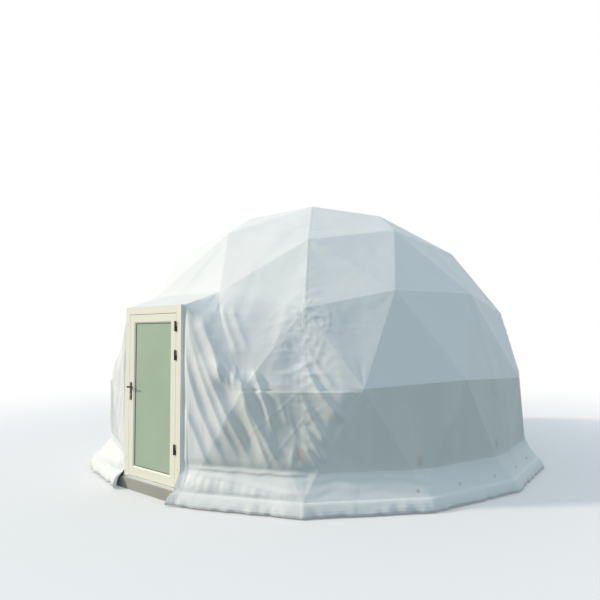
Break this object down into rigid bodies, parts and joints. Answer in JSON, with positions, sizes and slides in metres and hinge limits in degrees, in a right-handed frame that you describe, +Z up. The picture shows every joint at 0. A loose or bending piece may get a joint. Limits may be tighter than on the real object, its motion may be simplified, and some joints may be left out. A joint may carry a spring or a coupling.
{
  "type": "geodesic dome house",
  "caption": "Geodesic tube-frame dome on a concrete pad, with a white membrane cover, loose skirt and a glazed side-hung door that opens on to its hollow inside.",
  "frame": {"origin": "on the ground, on the dome's upright axis, at the centre of the concrete pad's underside", "axes": "+Z up; the door faces -Y; +X is to the right for someone who looks at the door from outside"},
  "size_m": [6.344, 6.3135, 3.7227],
  "materials": {
    "slab_concrete": "floated concrete",
    "cover_membrane": "white coated polyester membrane, satin",
    "frame_tube": "galvanised",
    "hub_plate": "galvanised",
    "door_frame": "cream, satin",
    "door_leaf": "cream, satin",
    "door_threshold": "satin white",
    "door_glass": "frosted, pale green",
    "door_hardware": "dark bronze, satin",
    "lock_brass": "satin"
  },
  "bodies": {
    "dome": {"base_ring": "frame_tube", "base_shoes": "hub_plate", "base_struts": "frame_tube", "cover_crown_1": "cover_membrane", "cover_crown_2": "cover_membrane", "cover_crown_3": "cover_membrane", "cover_crown_4": "cover_membrane", "cover_crown_5": "cover_membrane", "cover_side_1": "cover_membrane", "cover_side_2": "cover_membrane", "cover_side_3": "cover_membrane", "cover_side_4": "cover_membrane", "cover_side_5": "cover_membrane", "crown_hub": "hub_plate", "crown_ring": "frame_tube", "crown_struts": "frame_tube", "door_head": "door_frame", "door_jambs": "door_frame", "door_threshold": "door_threshold", "floor_slab": "slab_concrete", "hinge_frame_halves": "door_hardware", "porch_cheek_left": "cover_membrane", "porch_cheek_right": "cover_membrane", "porch_roof": "cover_membrane", "portal_header": "frame_tube", "portal_links": "frame_tube", "portal_posts": "frame_tube", "shoulder_hubs": "hub_plate", "shoulder_ring": "frame_tube", "shoulder_struts": "frame_tube", "skirt_band": "cover_membrane", "skirt_hem": "cover_membrane", "upper_hubs_1": "hub_plate", "upper_hubs_2": "hub_plate", "upper_ring": "frame_tube", "upper_struts": "frame_tube", "waist_hubs": "hub_plate", "waist_ring": "frame_tube", "wall_struts": "frame_tube"},
    "door_leaf": {"leaf_stiles": "door_leaf", "leaf_rails": "door_leaf", "door_glass": "door_glass", "glazing_beads": "door_leaf", "hinge_leaf_halves": "door_hardware", "lock_plates": "door_hardware", "lock_cylinders": "lock_brass"},
    "door_lever": {"lever_outside": "door_hardware", "lever_inside": "door_hardware", "lever_spindle": "frame_tube"}
  },
  "joints": [
    {"name": "door_hinge", "type": "hinge", "parent": "dome", "child": "door_leaf", "pos_m": [0.4425, -3.0035, 1.11], "axis": [0, 0, 1], "range_deg": [0, 100]},
    {"name": "lever_turn", "type": "hinge", "parent": "door_leaf", "child": "door_lever", "pos_m": [-0.404, -2.98949, 1.17], "axis": [0, 1, 0], "range_deg": [0, 40], "stiffness_Nm_per_rad": 2}
  ]
}
